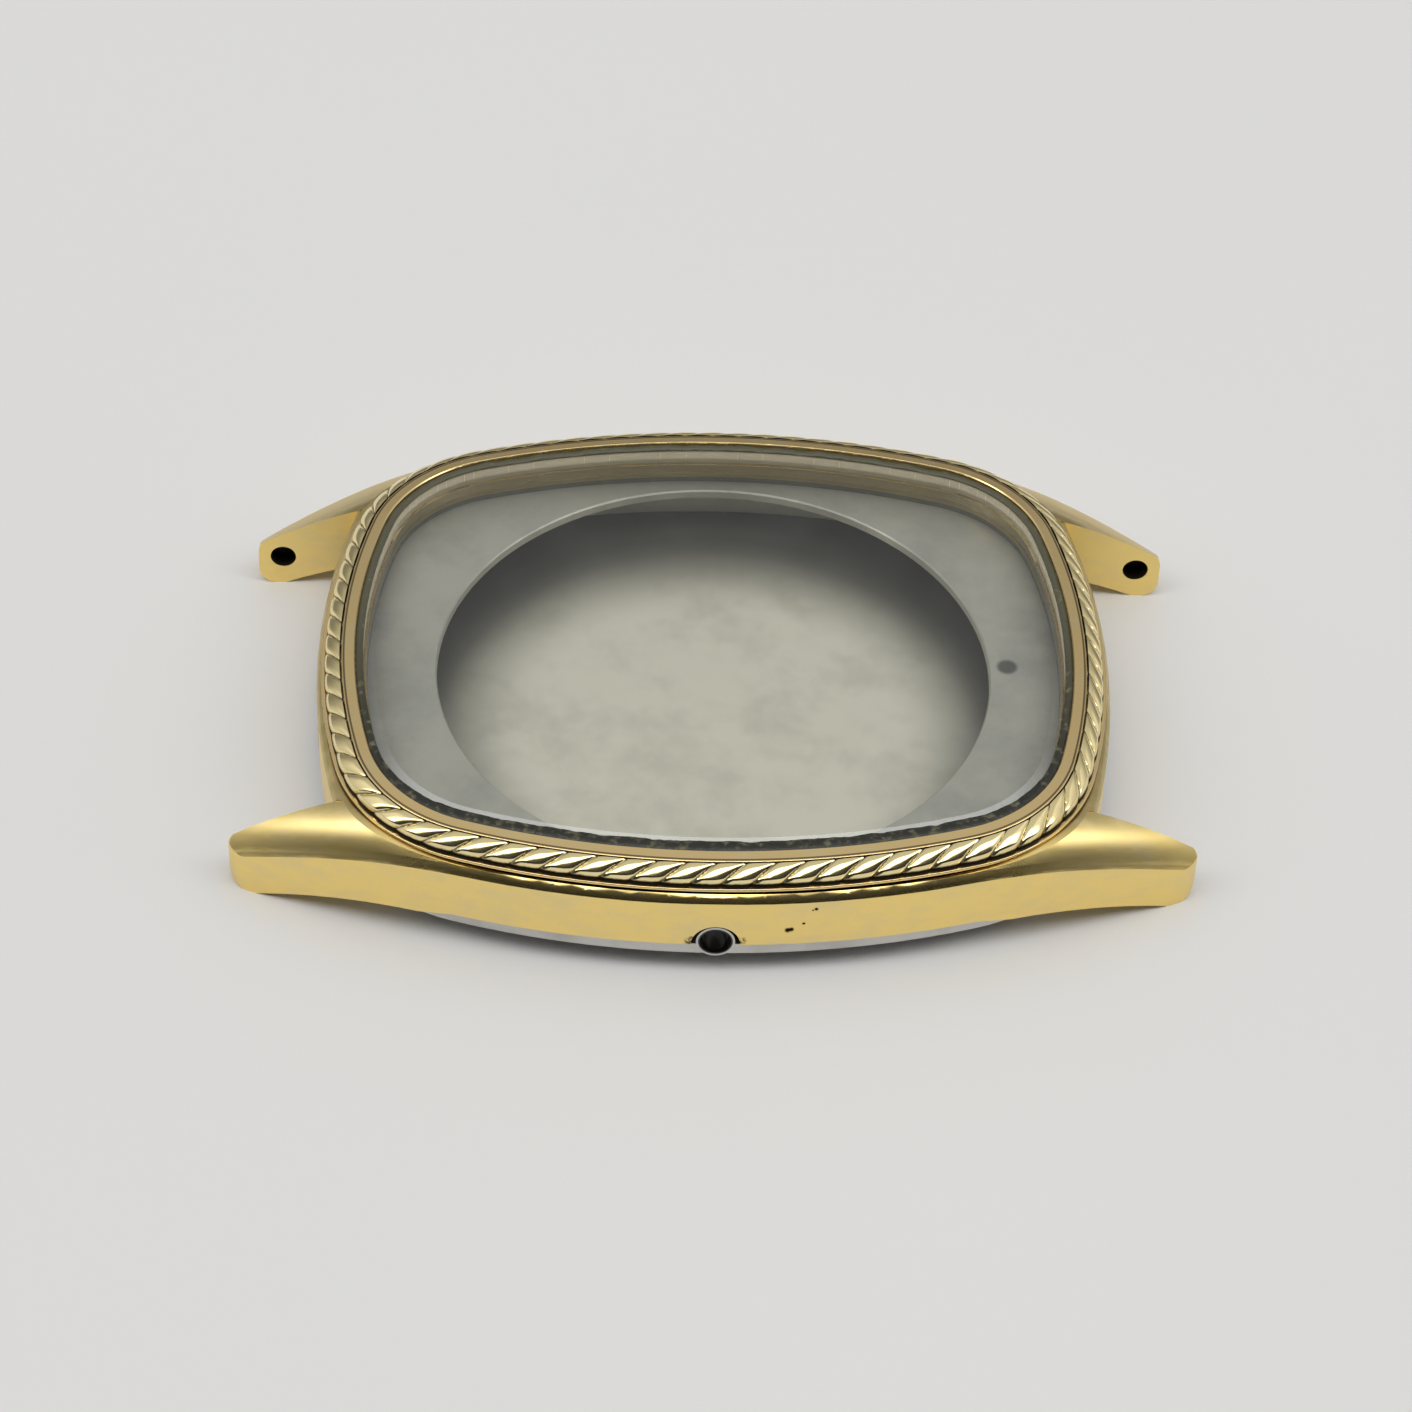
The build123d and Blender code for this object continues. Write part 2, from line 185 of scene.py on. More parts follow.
class Recipe:
    """A material or world that is put together node by node."""

    def __init__(self, block):
        block.use_nodes = True
        self.block = block
        self.tree = block.node_tree
        self.tree.nodes.clear()

    def node(self, kind, settings=None, inputs=None):
        """Makes a node with its settings, then gives its sockets their values or links."""
        made = self.tree.nodes.new(kind)
        for name, value in (settings or {}).items():
            setattr(made, name, value)
        for name, value in (inputs or {}).items():
            if isinstance(name, int):
                socket = made.inputs[name]
            else:
                socket = next(s for s in made.inputs if s.enabled and name in (s.name, s.identifier))
            source = value.socket if isinstance(value, Amount) else value
            if isinstance(source, bpy.types.NodeSocket):
                self.tree.links.new(source, socket)
            elif source is not None:
                socket.default_value = source
        return Outputs(self, made)

    def axes(self, vector):
        """The X, Y and Z parts of a vector."""
        parts = self.node("ShaderNodeSeparateXYZ", None, {"Vector": vector})
        return parts["X"], parts["Y"], parts["Z"]

    def points(self, stretch=(1, 1, 1)):
        """The surface's own coordinates in millimetres, stretched along the axes."""
        where = self.node("ShaderNodeTexCoord")["Object"]
        scale = tuple(1 / MM * s for s in stretch)
        return self.node("ShaderNodeMapping", None, {"Vector": where, "Scale": scale})["Vector"]

    def normal_axes(self):
        """The X, Y and Z parts of the direction that the surface faces."""
        return self.axes(self.node("ShaderNodeNewGeometry")["Normal"])

    def faces_centre(self):
        """1 on walls that face the upright line through the middle of the case, 0 elsewhere."""
        x, y, _ = self.axes(self.points())
        nx, ny, _ = self.normal_axes()
        return (x * nx + y * ny).below(faces_centre_limit)

    def distance(self, centre, stretch=(1, 1, 1)):
        """Millimetres from a point; a stretch of (1, 1, 0) measures from an upright line."""
        inputs = {0: self.points(stretch), 1: centre}
        return self.node("ShaderNodeVectorMath", {"operation": "DISTANCE"}, inputs)["Value"]

    def spots(self, places, softness=0.4):
        """1 inside any of some small balls, given as (centre, radius) pairs, and 0 outside them."""
        found = None
        for centre, radius in places:
            spot = 1 - self.distance(centre).between(radius * (1 - softness), radius * (1 + softness))
            found = spot if found is None else found.most(spot)
        return found

    def clouds(self, size, detail=3.0, stretch=(1, 1, 1)):
        """Soft noise from 0 to 1 whose patches are about the given size in millimetres."""
        inputs = {"Vector": self.points(stretch), "Scale": 1 / size, "Detail": detail}
        return self.node("ShaderNodeTexNoise", None, inputs | {"Roughness": noise_roughness})["Fac"]

    def blend(self, share, first, second):
        """A colour that goes from the first to the second with the share."""
        inputs = {"Factor": share, "A": first, "B": second}
        return self.node("ShaderNodeMix", {"data_type": "RGBA"}, inputs)["Result"]

    def bump(self, height, depth, normal=None, strength=1.0):
        """A Normal from a height between 0 and 1 that stands for the depth in millimetres."""
        inputs = {"Height": height, "Distance": depth * MM, "Strength": strength, "Normal": normal}
        return self.node("ShaderNodeBump", None, inputs)["Normal"]

    def surface(self, inputs):
        """The usual shader, linked to the material's output."""
        shader = self.node("ShaderNodeBsdfPrincipled", None, inputs)["BSDF"]
        self.node("ShaderNodeOutputMaterial", None, {"Surface": shader})
        return self.block


def new_recipe(name):
    """An empty recipe for a material of that name."""
    return Recipe(bpy.data.materials.new(name))


print("recipes ready")

# %% [markdown]
# ## Gold plate, satin and polished
# The middle is one stamped piece: its upright side is brushed satin, and the bead and lug tops above
# it are polished. Two materials on one mesh would need its faces sorted, so one material tells the
# two finishes apart by the surface normal: the satin side stands upright and its normal has no
# height. The satin is a grain of long fine streaks that run along the side, in bump and roughness.
#
# The lug tops are flat across in the solid and rounded on the real case, so a bump rounds them in
# their shading: a parabola of the way in from the side, as on a low dome. It is kept to the lug tops
# by the bump's strength. A height multiplied by a mask would get the mask's own slopes as well.
#
# The rest is age and painted shade: duller plate on the lug tops with painted shade on their upper
# half, dark specks, dents and dirt by the notch, brown painted shade on the walls where the case faces
# its own middle, and painted shade in the spring bar holes.

# %% Gold plate, satin and polished
gold_colour = (0.97, 0.745, 0.275, 1)
gold_worn = (0.80, 0.66, 0.36, 1)
# The colour of the lug tops' patina, and of the painted shade on their upper half.
patina_and_shade_gold = (0.42, 0.34, 0.16, 1)
bezel_gold = (0.84, 0.63, 0.30, 1)
# Painted shade: a brown copy of the gold for walls that face the case's middle.
inward_wall_shade = (0.34, 0.28, 0.17, 1)
# A near-black for dirt, and for painted shade in holes, along the bezel's band and in the rope.
dirt_and_shade_colour = (0.020, 0.016, 0.010, 1)
polished_lean = (0.08, 0.30)
lug_finish = (7.5, 14.5)
satin_roughness = 0.31
satin_depth = 0.006
bead_roughness = 0.10
lug_roughness = 0.28
lug_patina = 0.20
# Painted shade on the upper half of the lug tops, further in from the side.
top_painted_shade = 0.60
top_shade_inset = (0.45, 0.95)
speck_size = 0.07
speck_share = 0.6
wear_share = 0.4
mottle_share = 0.25
side_dents = [
    ((14.20, 2.84, 2.45), 0.11),
    ((14.19, 2.97, 2.48), 0.10),
    ((14.15, 3.46, 2.78), 0.06),
    ((14.10, 3.93, 3.55), 0.07),
    ((14.12, 3.80, 3.50), 0.04),
]
dent_depth = 0.05
notch_smudges = [((14.30, -1.04, 1.83), 0.17), ((14.30, 1.04, 1.90), 0.15), ((14.30, -0.95, 2.02), 0.10)]
smudge_softness = 0.7
bore_axis_place = 18.56
bore_axis_height = 1.47
bore_radius = 0.58
bore_from = 9.03
bore_to = 9.82
inner_from = 3.6
lug_root = 12.0
lug_face_lean = 0.97
lug_side_radius = 80.0
lug_side_centre = (-64.28, -10.87)
dome_width = 2.25
dome_height = 0.70
dome_lean = (0.55, 0.85)
bezel_inner_to = 4.5
bezel_roughness = 0.17
hairline_depth = 0.0015
joint_dirt = ((4.10, 4.22), (4.34, 4.38))
# Painted shade: a dark line along the outer edge of the bezel's band, beside the rope.
rim_shade_line = ((5.198, 5.204), (5.210, 5.216))
rim_shade_share = 0.75


def satin_gold():
    """Gold plate with a brushed upright side and polished tops, rounded lugs, small dents, dirt and
    painted shade.
    """
    make = new_recipe("satin_gold")
    x, y, z = make.axes(make.points())
    nx, _, upright = make.normal_axes()
    across, along = x.size(), y.size()
    polished = upright.between(*polished_lean)
    on_lug = along.between(*lug_finish)
    lug_face = nx.size().above(lug_face_lean) * along.above(lug_root)
    # Walls that face the case's middle are painted in shade with a brown copy of the gold.
    inside = make.faces_centre() * z.above(inner_from) * (1 - lug_face)
    off_axis = (along - bore_axis_place).power(2.0) + (z - bore_axis_height).power(2.0)
    # Painted shade: the walls of the spring bar holes are painted near black.
    painted_bore_shade = off_axis.below(bore_radius**2) * across.above(bore_from) * across.below(bore_to)

    grain = make.clouds(0.05, 2.0, (1, 0.04, 1))
    wear = make.clouds(2.2, 4.0, (1, 0.6, 1)).between(0.45, 0.75)
    mottle = make.clouds(0.7, 3.0, (1, 0.5, 1)).between(0.42, 0.66)
    specks = make.clouds(speck_size, 2.0).between(0.70, 0.80) * speck_share
    dents = make.spots(side_dents)
    smudges = make.spots(notch_smudges, smudge_softness) * make.clouds(0.12).between(0.35, 0.6)
    dark_marks = dents.most(smudges)

    beyond = along - lug_side_centre[1]
    side_x = (lug_side_radius**2 - beyond.power(2.0)).sum("SQRT") + lug_side_centre[0]
    inset = (side_x - across) * (1 / dome_width)
    still_to_rise = 1 - inset.most(0.0).least(1.0)
    dome = 1 - still_to_rise.power(2.0)

    # A little patina on all the lug tops, and painted shade on their upper half.
    patina_and_shade = (inset.between(*top_shade_inset) * top_painted_shade + lug_patina) * on_lug * polished
    plate = make.blend(patina_and_shade.most(specks), gold_colour, patina_and_shade_gold)
    worn = make.blend(wear * wear_share + mottle * mottle_share, plate, gold_worn)
    shaded = make.blend(inside, worn, inward_wall_shade)
    colour = make.blend(dark_marks.most(painted_bore_shade), shaded, dirt_and_shade_colour)
    polish_roughness = bead_roughness + on_lug * (lug_roughness - bead_roughness)
    roughness = satin_roughness + grain * 0.10 - polished * (satin_roughness - polish_roughness)
    brushed = make.bump(grain * (1 - polished), satin_depth)
    domed = make.bump(dome, dome_height, brushed, on_lug * upright.between(*dome_lean))
    return make.surface(
        {
            "Base Color": colour,
            "Metallic": 1 - painted_bore_shade,
            "Roughness": roughness + dark_marks * 0.4,
            "Normal": make.bump(1 - dents, dent_depth, domed),
        }
    )


def polished_gold():
    """Plate of the bezel, with hairlines, faint wear, dirt in the joint below it and painted shade."""
    make = new_recipe("polished_gold")
    height = make.axes(make.points())[2]
    wear = make.clouds(1.6, 4.0).between(0.4, 0.8)
    hairlines = make.clouds(0.09, 2.0, (1, 0.1, 1)).between(0.45, 0.8)
    # The bezel's walls that face the middle get the same painted shade.
    inside = make.faces_centre() * height.below(bezel_inner_to)
    # Dirt in the joint below the bezel, and a painted shade line on the band's outer edge.
    dark_marks = (height.band(*joint_dirt) * (1 - inside)).most(height.band(*rim_shade_line) * rim_shade_share)
    colour = make.blend(inside, make.blend(wear * 0.7, bezel_gold, gold_worn), inward_wall_shade)
    return make.surface(
        {
            "Base Color": make.blend(dark_marks, colour, dirt_and_shade_colour),
            "Metallic": 1.0,
            "Roughness": bezel_roughness + hairlines * 0.10 + wear * 0.06,
            "Normal": make.bump(hairlines, hairline_depth),
        }
    )


satin_gold_plate = satin_gold()
polished_gold_plate = polished_gold()
print("gold finishes", satin_gold_plate.name, polished_gold_plate.name)

# %% [markdown]
# ## Rope gold
# The twisted ring is bright on its strands and dark between them: years of dirt sit in the crevices,
# and painted shade darkens them further, with the foot and the inner edge of the rope. A texture can't
# know where a crevice is, but the mesh can: each of its points will carry how deep it lies, and the
# finish reads that number as an attribute.

# %% Rope gold
depth_name = "crevice"
strand_gold = (0.96, 0.81, 0.43, 1)
strand_roughness = 0.13
crevice_depth = (0.60, 0.92)


def rope_gold():
    """Polished strands, with dirt and painted shade in the crevices between them."""
    make = new_recipe("rope_gold")
    depth = make.node("ShaderNodeAttribute", {"attribute_name": depth_name})["Fac"]
    # Dirt and painted shade in the crevices, at the rope's foot and along its inner edge.
    dark_marks = (depth + make.clouds(0.25) * 0.25).between(*crevice_depth)
    tarnish = make.clouds(0.9).between(0.45, 0.8) * 0.5
    colour = make.blend(tarnish, strand_gold, gold_worn)
    return make.surface(
        {
            "Base Color": make.blend(dark_marks, colour, dirt_and_shade_colour),
            "Metallic": 1.0,
            "Roughness": strand_roughness + tarnish * 0.12 + dark_marks * 0.5,
        }
    )


rope_gold_plate = rope_gold()
print("rope finish", rope_gold_plate.name)

# %% [markdown]
# ## Crystal
# The flat crystal is clear, but its polished top mirrors the room a little. Refraction through it
# would cost many light bounces and shift nothing that the eye can see in a plate this thin, so the
# glass is a mixture of a clear pass-through and a sharp reflection. How much of each there is depends
# on the slant, as in real glass. The Fresnel node would also turn the underside into a full mirror,
# because light leaving glass can be trapped, so the share is worked out from the slant alone. The
# ground bevel round the top is duller, and on the crown side it is given more mirror, a painted glint.

# %% Crystal
face_on_mirror = 0.045
haze_share = 0.02
bevel_lean = (0.95, 0.99)
bevel_roughness = 0.5
glint_lean = (0.06, 0.30)
glint_share = 0.20
glint_least = 0.02
glass_roughness = 0.03
glass_tint = (0.96, 0.97, 0.96, 1)
mirror_tint = (0.9, 0.92, 0.92, 1)


def clear_crystal():
    """Thin clear glass: see-through face on, mirroring at a slant, with a dull bevel."""
    make = new_recipe("clear_crystal")
    slant = make.node("ShaderNodeLayerWeight", None, {"Blend": 0.5})["Facing"]
    fresnel = face_on_mirror + slant.power(5.0) * (1 - face_on_mirror)
    nx, _, upright = make.normal_axes()
    bevel = 1 - upright.size().between(*bevel_lean)
    # Painted glint: the bevel mirrors more where it faces the crown side.
    glint = bevel * (nx.between(*glint_lean) * glint_share + glint_least)
    haze = make.clouds(3.0, 4.0).between(0.3, 0.8) * haze_share
    gloss = {"Color": mirror_tint, "Roughness": glass_roughness + bevel * bevel_roughness}
    clear = make.node("ShaderNodeBsdfTransparent", None, {"Color": glass_tint})["BSDF"]
    mirror = make.node("ShaderNodeBsdfGlossy", None, gloss)["BSDF"]
    share = (fresnel + haze + glint).least(1.0)
    mixed = make.node("ShaderNodeMixShader", None, {0: share, 1: clear, 2: mirror})["Shader"]
    make.node("ShaderNodeOutputMaterial", None, {"Surface": mixed})
    return make.block


crystal_glass = clear_crystal()
print("glass finish", crystal_glass.name)

# %% [markdown]
# ## Seals, plate and steel
# The seals are old plastic. Their open parts are black with grease and dust, paler on the far side,
# and what is shut in between glass and gold has gone amber, brown lower down. The plate under the
# glass is matt grey metal, blotched by damp, with one dark spot and painted shade along its edge under
# the bezel. The back is satin steel with fine rings; inside its cup it is a paler copy, painted light,
# with painted shade in the cup's corner, and the stem tube is the same steel, polished, with painted
# shade in its bore. All are one recipe each of colour patches, roughness and a bump.

# %% Seals, plate and steel
seal_colour = (0.018, 0.018, 0.012, 1)
seal_pale = (0.15, 0.14, 0.08, 1)
seal_amber = (1.0, 0.80, 0.52, 1)
seal_brown = (0.26, 0.22, 0.15, 1)
seal_buried = ((4.0, 4.3), (4.98, 5.06))
amber_above = (4.58, 4.66)
far_side = (-3.0, 9.0)
# How much paler the seal's open top is made towards the far side.
far_paler = 0.55
plate_light = (0.62, 0.60, 0.54, 1)
plate_dark = (0.43, 0.42, 0.38, 1)
# A dark colour for the plate's stain spot and for the painted shade along its edge.
plate_stain_and_shade = (0.035, 0.035, 0.035, 1)
plate_spot = ((-0.36, 12.30, 3.46), 0.42)
spot_softness = 0.3
spot_share = 0.8
plate_half_width = 13.05
plate_half_length = 15.28
plate_edge_shade = (0.45, 1.0)
plate_edge_shade_share = 0.75
plate_metal = 0.75
stem_axis_height = 1.85
stem_bore_radius = 0.69
stem_bore_from = (12.0, 12.1)
# Painted shade for the inside of the stem tube's bore.
bore_shade_colour = (0.002, 0.002, 0.002, 1)
steel_light = (0.60, 0.59, 0.575, 1)
steel_dark = (0.44, 0.43, 0.42, 1)
# Painted light: a paler copy of the steel for the walls and floor inside the cup.
painted_lit_inside_light = (0.92, 0.87, 0.75, 1)
painted_lit_inside_dark = (0.70, 0.66, 0.56, 1)
inside_matt = 0.45
wall_matt = 0.9
level_lean = (0.4, 0.6)
# Painted shade on the cup floor towards its wall, strongest on the far side.
corner_shade_colour = (0.10, 0.095, 0.08, 1)
corner_shade_centre = (1.5, 0.0, 0.0)
corner_shade_reach = (7.6, 12.9)


def old_seal():
    """Clear old seal gone amber, its open top black with dust and dried grease."""
    make = new_recipe("old_seal")
    x, _, height = make.axes(make.points())
    dust = make.clouds(0.35, 5.0).between(0.5, 0.72)
    far = 1 - x.between(*far_side)
    # The open top is paler where dust lies, and paler towards the far side.
    black = make.blend(dust.most(far * far_paler), seal_colour, seal_pale)
    amber = make.blend(height.between(*amber_above), seal_brown, seal_amber)
    return make.surface(
        {
            "Base Color": make.blend(height.band(*seal_buried), black, amber),
            "Roughness": 0.35 + dust * 0.4,
            "Normal": make.bump(make.clouds(0.2, 4.0), 0.05),
        }
    )


def grey_plate():
    """Matt grey metal with cloudy stains, one dark spot and painted shade along its edge."""
    make = new_recipe("grey_plate")
    stains = make.clouds(3.5, 5.0).between(0.35, 0.72)
    fine = make.clouds(0.12)
    spot = make.spots([plate_spot], spot_softness) * spot_share
    x, y, _ = make.axes(make.points((1 / plate_half_width, 1 / plate_half_length, 1)))
    # Painted shade: the plate darkens towards its edge under the bezel.
    edge_shade = (x.power(4.0) + y.power(4.0)).between(*plate_edge_shade) * plate_edge_shade_share
    colour = make.blend(stains * 0.8 + fine * 0.2, plate_light, plate_dark)
    return make.surface(
        {
            "Base Color": make.blend(spot.most(edge_shade), colour, plate_stain_and_shade),
            "Metallic": plate_metal,
            "Roughness": 0.42 + stains * 0.14 + fine * 0.06,
            "Normal": make.bump(fine, 0.0006),
        }
    )


def satin_steel(name, roughness, turned):
    """Steel with stains and painted light and shade; turned gives it fine rings round the case's centre.
    """
    make = new_recipe(name)
    stains = make.clouds(2.4, 5.0).between(0.4, 0.75)
    if turned:
        rings = {"W": make.distance((0, 0, 0), (1, 1, 0)), "Scale": 18.0, "Detail": 2.0}
        grain = make.node("ShaderNodeTexNoise", {"noise_dimensions": "1D"}, rings)["Fac"]
    else:
        grain = make.clouds(0.08, 2.0)
    x, y, z = make.axes(make.points())
    off_axis = y.power(2.0) + (z - stem_axis_height).power(2.0)
    # Painted shade: the stem tube's bore is painted near black.
    painted_bore_shade = off_axis.below(stem_bore_radius**2) * x.between(*stem_bore_from)
    level = make.normal_axes()[2].between(*level_lean)
    wall = make.faces_centre()
    # Inside the cup the steel is a paler copy, painted light.
    inside = wall.most(level)
    light = make.blend(inside, steel_light, painted_lit_inside_light)
    dark = make.blend(inside, steel_dark, painted_lit_inside_dark)
    # Painted shade in the corner of the cup, on its level floor.
    corner_shade = make.distance(corner_shade_centre, (1, 1, 0)).between(*corner_shade_reach) * level
    colour = make.blend(corner_shade, make.blend(stains * 0.7, light, dark), corner_shade_colour)
    return make.surface(
        {
            "Base Color": make.blend(painted_bore_shade, colour, bore_shade_colour),
            "Metallic": (1 - painted_bore_shade) * (1 - inside * inside_matt) * (1 - wall * wall_matt),
            "Roughness": roughness + stains * 0.1 + grain * 0.06,
            "Normal": make.bump(grain, 0.002),
        }
    )


seal_finish = old_seal()
plate_finish = grey_plate()
back_finish = satin_steel("back_steel", 0.30, True)
tube_finish = satin_steel("tube_steel", 0.10, False)
print("dark and grey finishes", seal_finish.name, plate_finish.name, back_finish.name, tube_finish.name)

# %% [markdown]
# ## Finishes on the CAD nodes
# The middle, the crystal, the flat seal, the plate, the back and the tube have the right shape as they
# come. They keep their meshes, and only the material in each slot changes.

# %% Finishes on the CAD nodes
node_finishes = {
    "case_middle": satin_gold_plate,
    "crystal": crystal_glass,
    "back_gasket": seal_finish,
    "movement_ring": plate_finish,
    "case_back": back_finish,
    "crown_tube": tube_finish,
}
for node, finish in node_finishes.items():
    for slot in nodes[node].material_slots:
        slot.material = finish
    print(node, "gets", finish.name)

# %% [markdown]
# ## The cushion outline
# Glass, bezel and rope all run parallel to one outline: a cushion of eight arcs that meet smoothly.
# A curve object could carry them, but then their sections would twist a little at the corners. Here
# each station of a ring is worked out exactly from its arc's centre, radius and angle, and a section
# point is simply some distance further out along that angle.

# %% The cushion outline
side_radius = 33.7
end_radius = 27.8
corner_radius = 5.94
glass_half_width = 12.62
glass_half_length = 14.85
side_centre = glass_half_width - side_radius
end_centre = glass_half_length - end_radius
corner_x = 5.4339
corner_y = 8.2239
strand_line = 0.58


def outline_arcs():
    """The outline from the crown side's middle, as (centre x, centre y, radius, first angle, turn)."""
    side_turn = math.atan2(corner_y, corner_x - side_centre)
    end_turn = math.atan2(corner_y - end_centre, corner_x)
    corner_turn = end_turn - side_turn
    end_sweep = math.pi - 2 * end_turn
    return [
        (side_centre, 0, side_radius, 0, side_turn),
        (corner_x, corner_y, corner_radius, side_turn, corner_turn),
        (0, end_centre, end_radius, end_turn, end_sweep),
        (-corner_x, corner_y, corner_radius, math.pi - end_turn, corner_turn),
        (-side_centre, 0, side_radius, math.pi - side_turn, 2 * side_turn),
        (-corner_x, -corner_y, corner_radius, math.pi + side_turn, corner_turn),
        (0, -end_centre, end_radius, math.pi + end_turn, end_sweep),
        (corner_x, -corner_y, corner_radius, -end_turn, corner_turn),
        (side_centre, 0, side_radius, -side_turn, side_turn),
    ]


def stations(count):
    """Evenly spaced places round the outline, each as (centre x, centre y, radius, angle)."""
    arcs = outline_arcs()
    lengths = [(radius + strand_line) * turn for _, _, radius, _, turn in arcs]
    total = sum(lengths)
    places = []
    for number in range(count):
        along = total * number / count
        arc = 0
        while along > lengths[arc]:
            along -= lengths[arc]
            arc += 1
        x, y, radius, start, turn = arcs[arc]
        places.append((x, y, radius, start + turn * along / lengths[arc]))
    return places


def ring_point(station, distance, height):
    """A point in metres at a distance outside the glass opening."""
    x, y, radius, angle = station
    reach = radius + distance
    return Vector((x + reach * math.cos(angle), y + reach * math.sin(angle), height)) * MM


print("outline stations", len(stations(8)))

# %% [markdown]
# ## A ring from its section
# A machined ring never has knife edges: each corner is broken by a hair, and that hair is what
# catches the light. So a section is a list of corners, each with its own radius, and the ring's
# shading normals are set from the section itself. Polished metal then mirrors cleanly, without the
# ripples that averaged normals would give.

# %% A ring from its section
corner_steps = 5


def rounded(corners):
    """A closed section's (distance, height, normal) points from (distance, height, radius) corners."""
    points = []
    for number, (x, z, radius) in enumerate(corners):
        here = Vector((x, z))
        before = (Vector(corners[number - 1][:2]) - here).normalized()
        after = (Vector(corners[(number + 1) % len(corners)][:2]) - here).normalized()
        half = before.angle(after) / 2
        tangent = radius / math.tan(half)
        middle = here + (before + after).normalized() * radius / math.sin(half)
        first = here + before * tangent - middle
        last = here + after * tangent - middle
        turn = first.angle_signed(last)
        for step in range(corner_steps + 1):
            arm = Matrix.Rotation(-turn * step / corner_steps, 2) @ first
            normal = arm.normalized() * (1 if corner_is_convex(corners, number) else -1)
            points.append((*(middle + arm), normal))
    return points


def corner_is_convex(corners, number):
    """True where the section, listed counter-clockwise, turns left at a corner."""
    here = Vector(corners[number][:2])
    before = here - Vector(corners[number - 1][:2])
    after = Vector(corners[(number + 1) % len(corners)][:2]) - here
    return before.cross(after) > 0


def mesh_piece(name, points, faces, normals, finish):
    """A smooth mesh object with exact normals and one finish."""
    mesh = bpy.data.meshes.new(name)
    mesh.from_pydata(points, [], faces)
    mesh.materials.append(finish)
    mesh.shade_smooth()
    mesh.normals_split_custom_set_from_vertices(normals)
    piece = bpy.data.objects.new(name, mesh)
    bpy.context.scene.collection.objects.link(piece)
    return piece


def grid_faces(rows, columns, section_step=1):
    """Four-sided faces over a grid that closes both ways; a step of -1 is for a clockwise section."""
    faces = []
    for row in range(rows):
        here, beyond = row * columns, (row + 1) % rows * columns
        for column in range(columns):
            beside = (column + section_step) % columns
            faces.append((here + column, beyond + column, beyond + beside, here + beside))
    return faces


def plain_ring(name, corners, count, finish):
    """A ring with the same rounded section all the way round."""
    section = rounded(corners)
    points, normals = [], []
    for station in stations(count):
        angle = station[3]
        for distance, height, normal in section:
            points.append(ring_point(station, distance, height))
            normals.append(Vector((normal.x * math.cos(angle), normal.x * math.sin(angle), normal.y)))
    return mesh_piece(name, points, grid_faces(count, len(section)), normals, finish)


print("ring tools ready")

# %% [markdown]
# ## The bezel
# The bezel carries everything round the glass: a plain polished band inside, a channel for the
# rope, a narrow lip outside it, and a ledge and spigot that stay hidden. Its section is the
# machined one, with the small radii that polishing leaves on the edges that show.

# %% The bezel
bezel_stations = 640
bezel_section = [
    (-0.45, 3.95, 0.02),
    (0.25, 3.95, 0.02),
    (0.25, 4.23, 0.02),
    (1.325, 4.23, 0.02),
    (1.325, 4.36, 0.02),
    (1.425, 4.36, 0.02),
    (1.425, 4.48, 0.05),
    (0.58, 4.48, 0.02),
    (0.58, 5.19, 0.07),
    (0.05, 5.27, 0.03),
    (0.0, 5.22, 0.03),
    (0.0, 4.40, 0.02),
    (-0.45, 4.40, 0.02),
]
bezel = plain_ring("bezel_ring", bezel_section, bezel_stations, polished_gold_plate)
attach(bezel, "bezel_assembly")
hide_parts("bezel")
print("bezel faces", len(bezel.data.polygons))

# %% [markdown]
# ## The rope ring
# On the real case a ring with slanted strands lies in the bezel's channel, like a twisted rope that is
# half sunk. Eighty-two separate strands could be modelled and joined, but one surface is cleaner: it
# starts from a ring with a rounded section, and each point is pushed in by how far it lies from the
# middle of its strand. The strands lean clockwise as they go outwards, and the grooves between them
# are deepest half way down and run out at the band and at the foot. Each point also keeps its depth,
# for the dirt and the painted shade of the rope's finish.

# %% The rope ring
strand_count = 82
strand_samples = 22
strand_turns = 20
strand_lean = 1.0
rope_inner = 0.61
rope_outer = 1.29
rope_low = 4.48
rope_high = 5.19
groove_ends = 0.09
groove_middle = 0.23
foot_from = 0.70
foot_out = 0.90
foot_up = 0.53
top_curve = 1.8
strand_fullness = 2.4
# Dirt and painted shade along the rope's inner edge and at its foot.
edge_dirt_and_shade = 0.10
foot_dirt_and_shade = 1.2


def strand_profile(across):
    """How far a strand stands above its crevices, from 0 to 1, at a place from 0 to 1 across it."""
    side = 2 * across - 1
    return math.sqrt(max(1 - abs(side) ** strand_fullness, 0.0))


def rope_shape(along, around):
    """(distance, height, depth) of the surface; around goes from the top inner edge to the foot."""
    across = (along + strand_lean * around) % 1
    bulge = math.sin(math.pi * around)
    groove = groove_ends + (groove_middle - groove_ends) * bulge
    depth = 1 - strand_profile(across)
    sunk = 1 - groove * depth
    out = min(around / foot_from, 1.0) * foot_out
    past = max(around - foot_from, 0.0) / (1 - foot_from)
    up = 1 - (1 - foot_up) * (out / foot_out) ** top_curve
    if past > 0:
        out = foot_out + (1 - foot_out) * math.sin(past * math.pi / 2)
        up = foot_up * (1 - past)
    distance = rope_inner + (rope_outer - rope_inner) * out * sunk
    height = rope_low + (rope_high - rope_low) * up * sunk
    return distance, height, max(depth, past * foot_dirt_and_shade, 1 - around / edge_dirt_and_shade)


